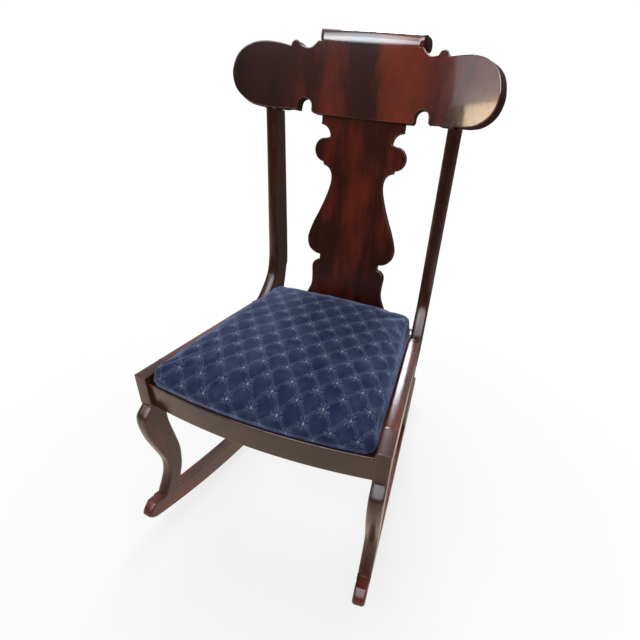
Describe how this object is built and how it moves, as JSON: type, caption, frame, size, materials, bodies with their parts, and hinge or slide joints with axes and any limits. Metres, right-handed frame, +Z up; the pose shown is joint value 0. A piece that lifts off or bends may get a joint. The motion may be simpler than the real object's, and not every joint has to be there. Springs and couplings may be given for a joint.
{
  "type": "childs rocking chair",
  "caption": "Child's wooden rocking chair with a shaped crest rail and scroll, a vase splat, a bowed front rail, curved legs on rockers and a drop-in upholstered seat.",
  "frame": {"origin": "on the floor under the middle of the object's box, the chair standing at rest on its rockers", "axes": "+Z up, -Y towards the front of the chair, +X to the right seen from the front; the chair mirrors in X"},
  "size_m": [0.4184, 0.5422, 0.7282],
  "materials": {
    "crest_mahogany": "gloss varnish over figured veneer",
    "splat_mahogany": "gloss varnish over figured veneer",
    "frame_mahogany": "gloss varnish",
    "secondary_wood": "planed, unfinished",
    "screw_steel": "dull",
    "tack_steel": "blued",
    "jute_webbing": "coarse weave",
    "burlap": "open weave",
    "cotton_padding": "felted",
    "navy_jacquard": "woven pattern"
  },
  "bodies": {
    "chair": {"crest_rail": "crest_mahogany", "crest_scroll": "crest_mahogany", "splat": "splat_mahogany", "stile_left": "frame_mahogany", "stile_right": "frame_mahogany", "side_rail_left": "frame_mahogany", "side_rail_right": "frame_mahogany", "front_leg_left": "frame_mahogany", "front_leg_right": "frame_mahogany", "rear_leg_left": "frame_mahogany", "rear_leg_right": "frame_mahogany", "rocker_left": "frame_mahogany", "rocker_right": "frame_mahogany", "front_rail": "frame_mahogany", "back_rail": "frame_mahogany", "seat_ledge_left": "secondary_wood", "seat_ledge_right": "secondary_wood", "ledge_screws": "screw_steel", "corner_blocks": "secondary_wood", "corner_screws": "screw_steel", "rail_dowels": "secondary_wood", "leg_dowels": "secondary_wood", "crest_dowels": "secondary_wood"},
    "drop_in_seat": {"slip_frame_front": "secondary_wood", "slip_frame_back": "secondary_wood", "slip_frame_left": "secondary_wood", "slip_frame_right": "secondary_wood", "webbing_lengthwise": "jute_webbing", "webbing_crosswise": "jute_webbing", "burlap_sheet": "burlap", "seat_padding": "cotton_padding", "seat_cover": "navy_jacquard", "cover_tacks": "tack_steel"}
  },
  "joints": [
    {"name": "seat_lift", "type": "slide", "parent": "chair", "child": "drop_in_seat", "axis": [0, 0, 1], "range_m": [0, 0.12]}
  ]
}
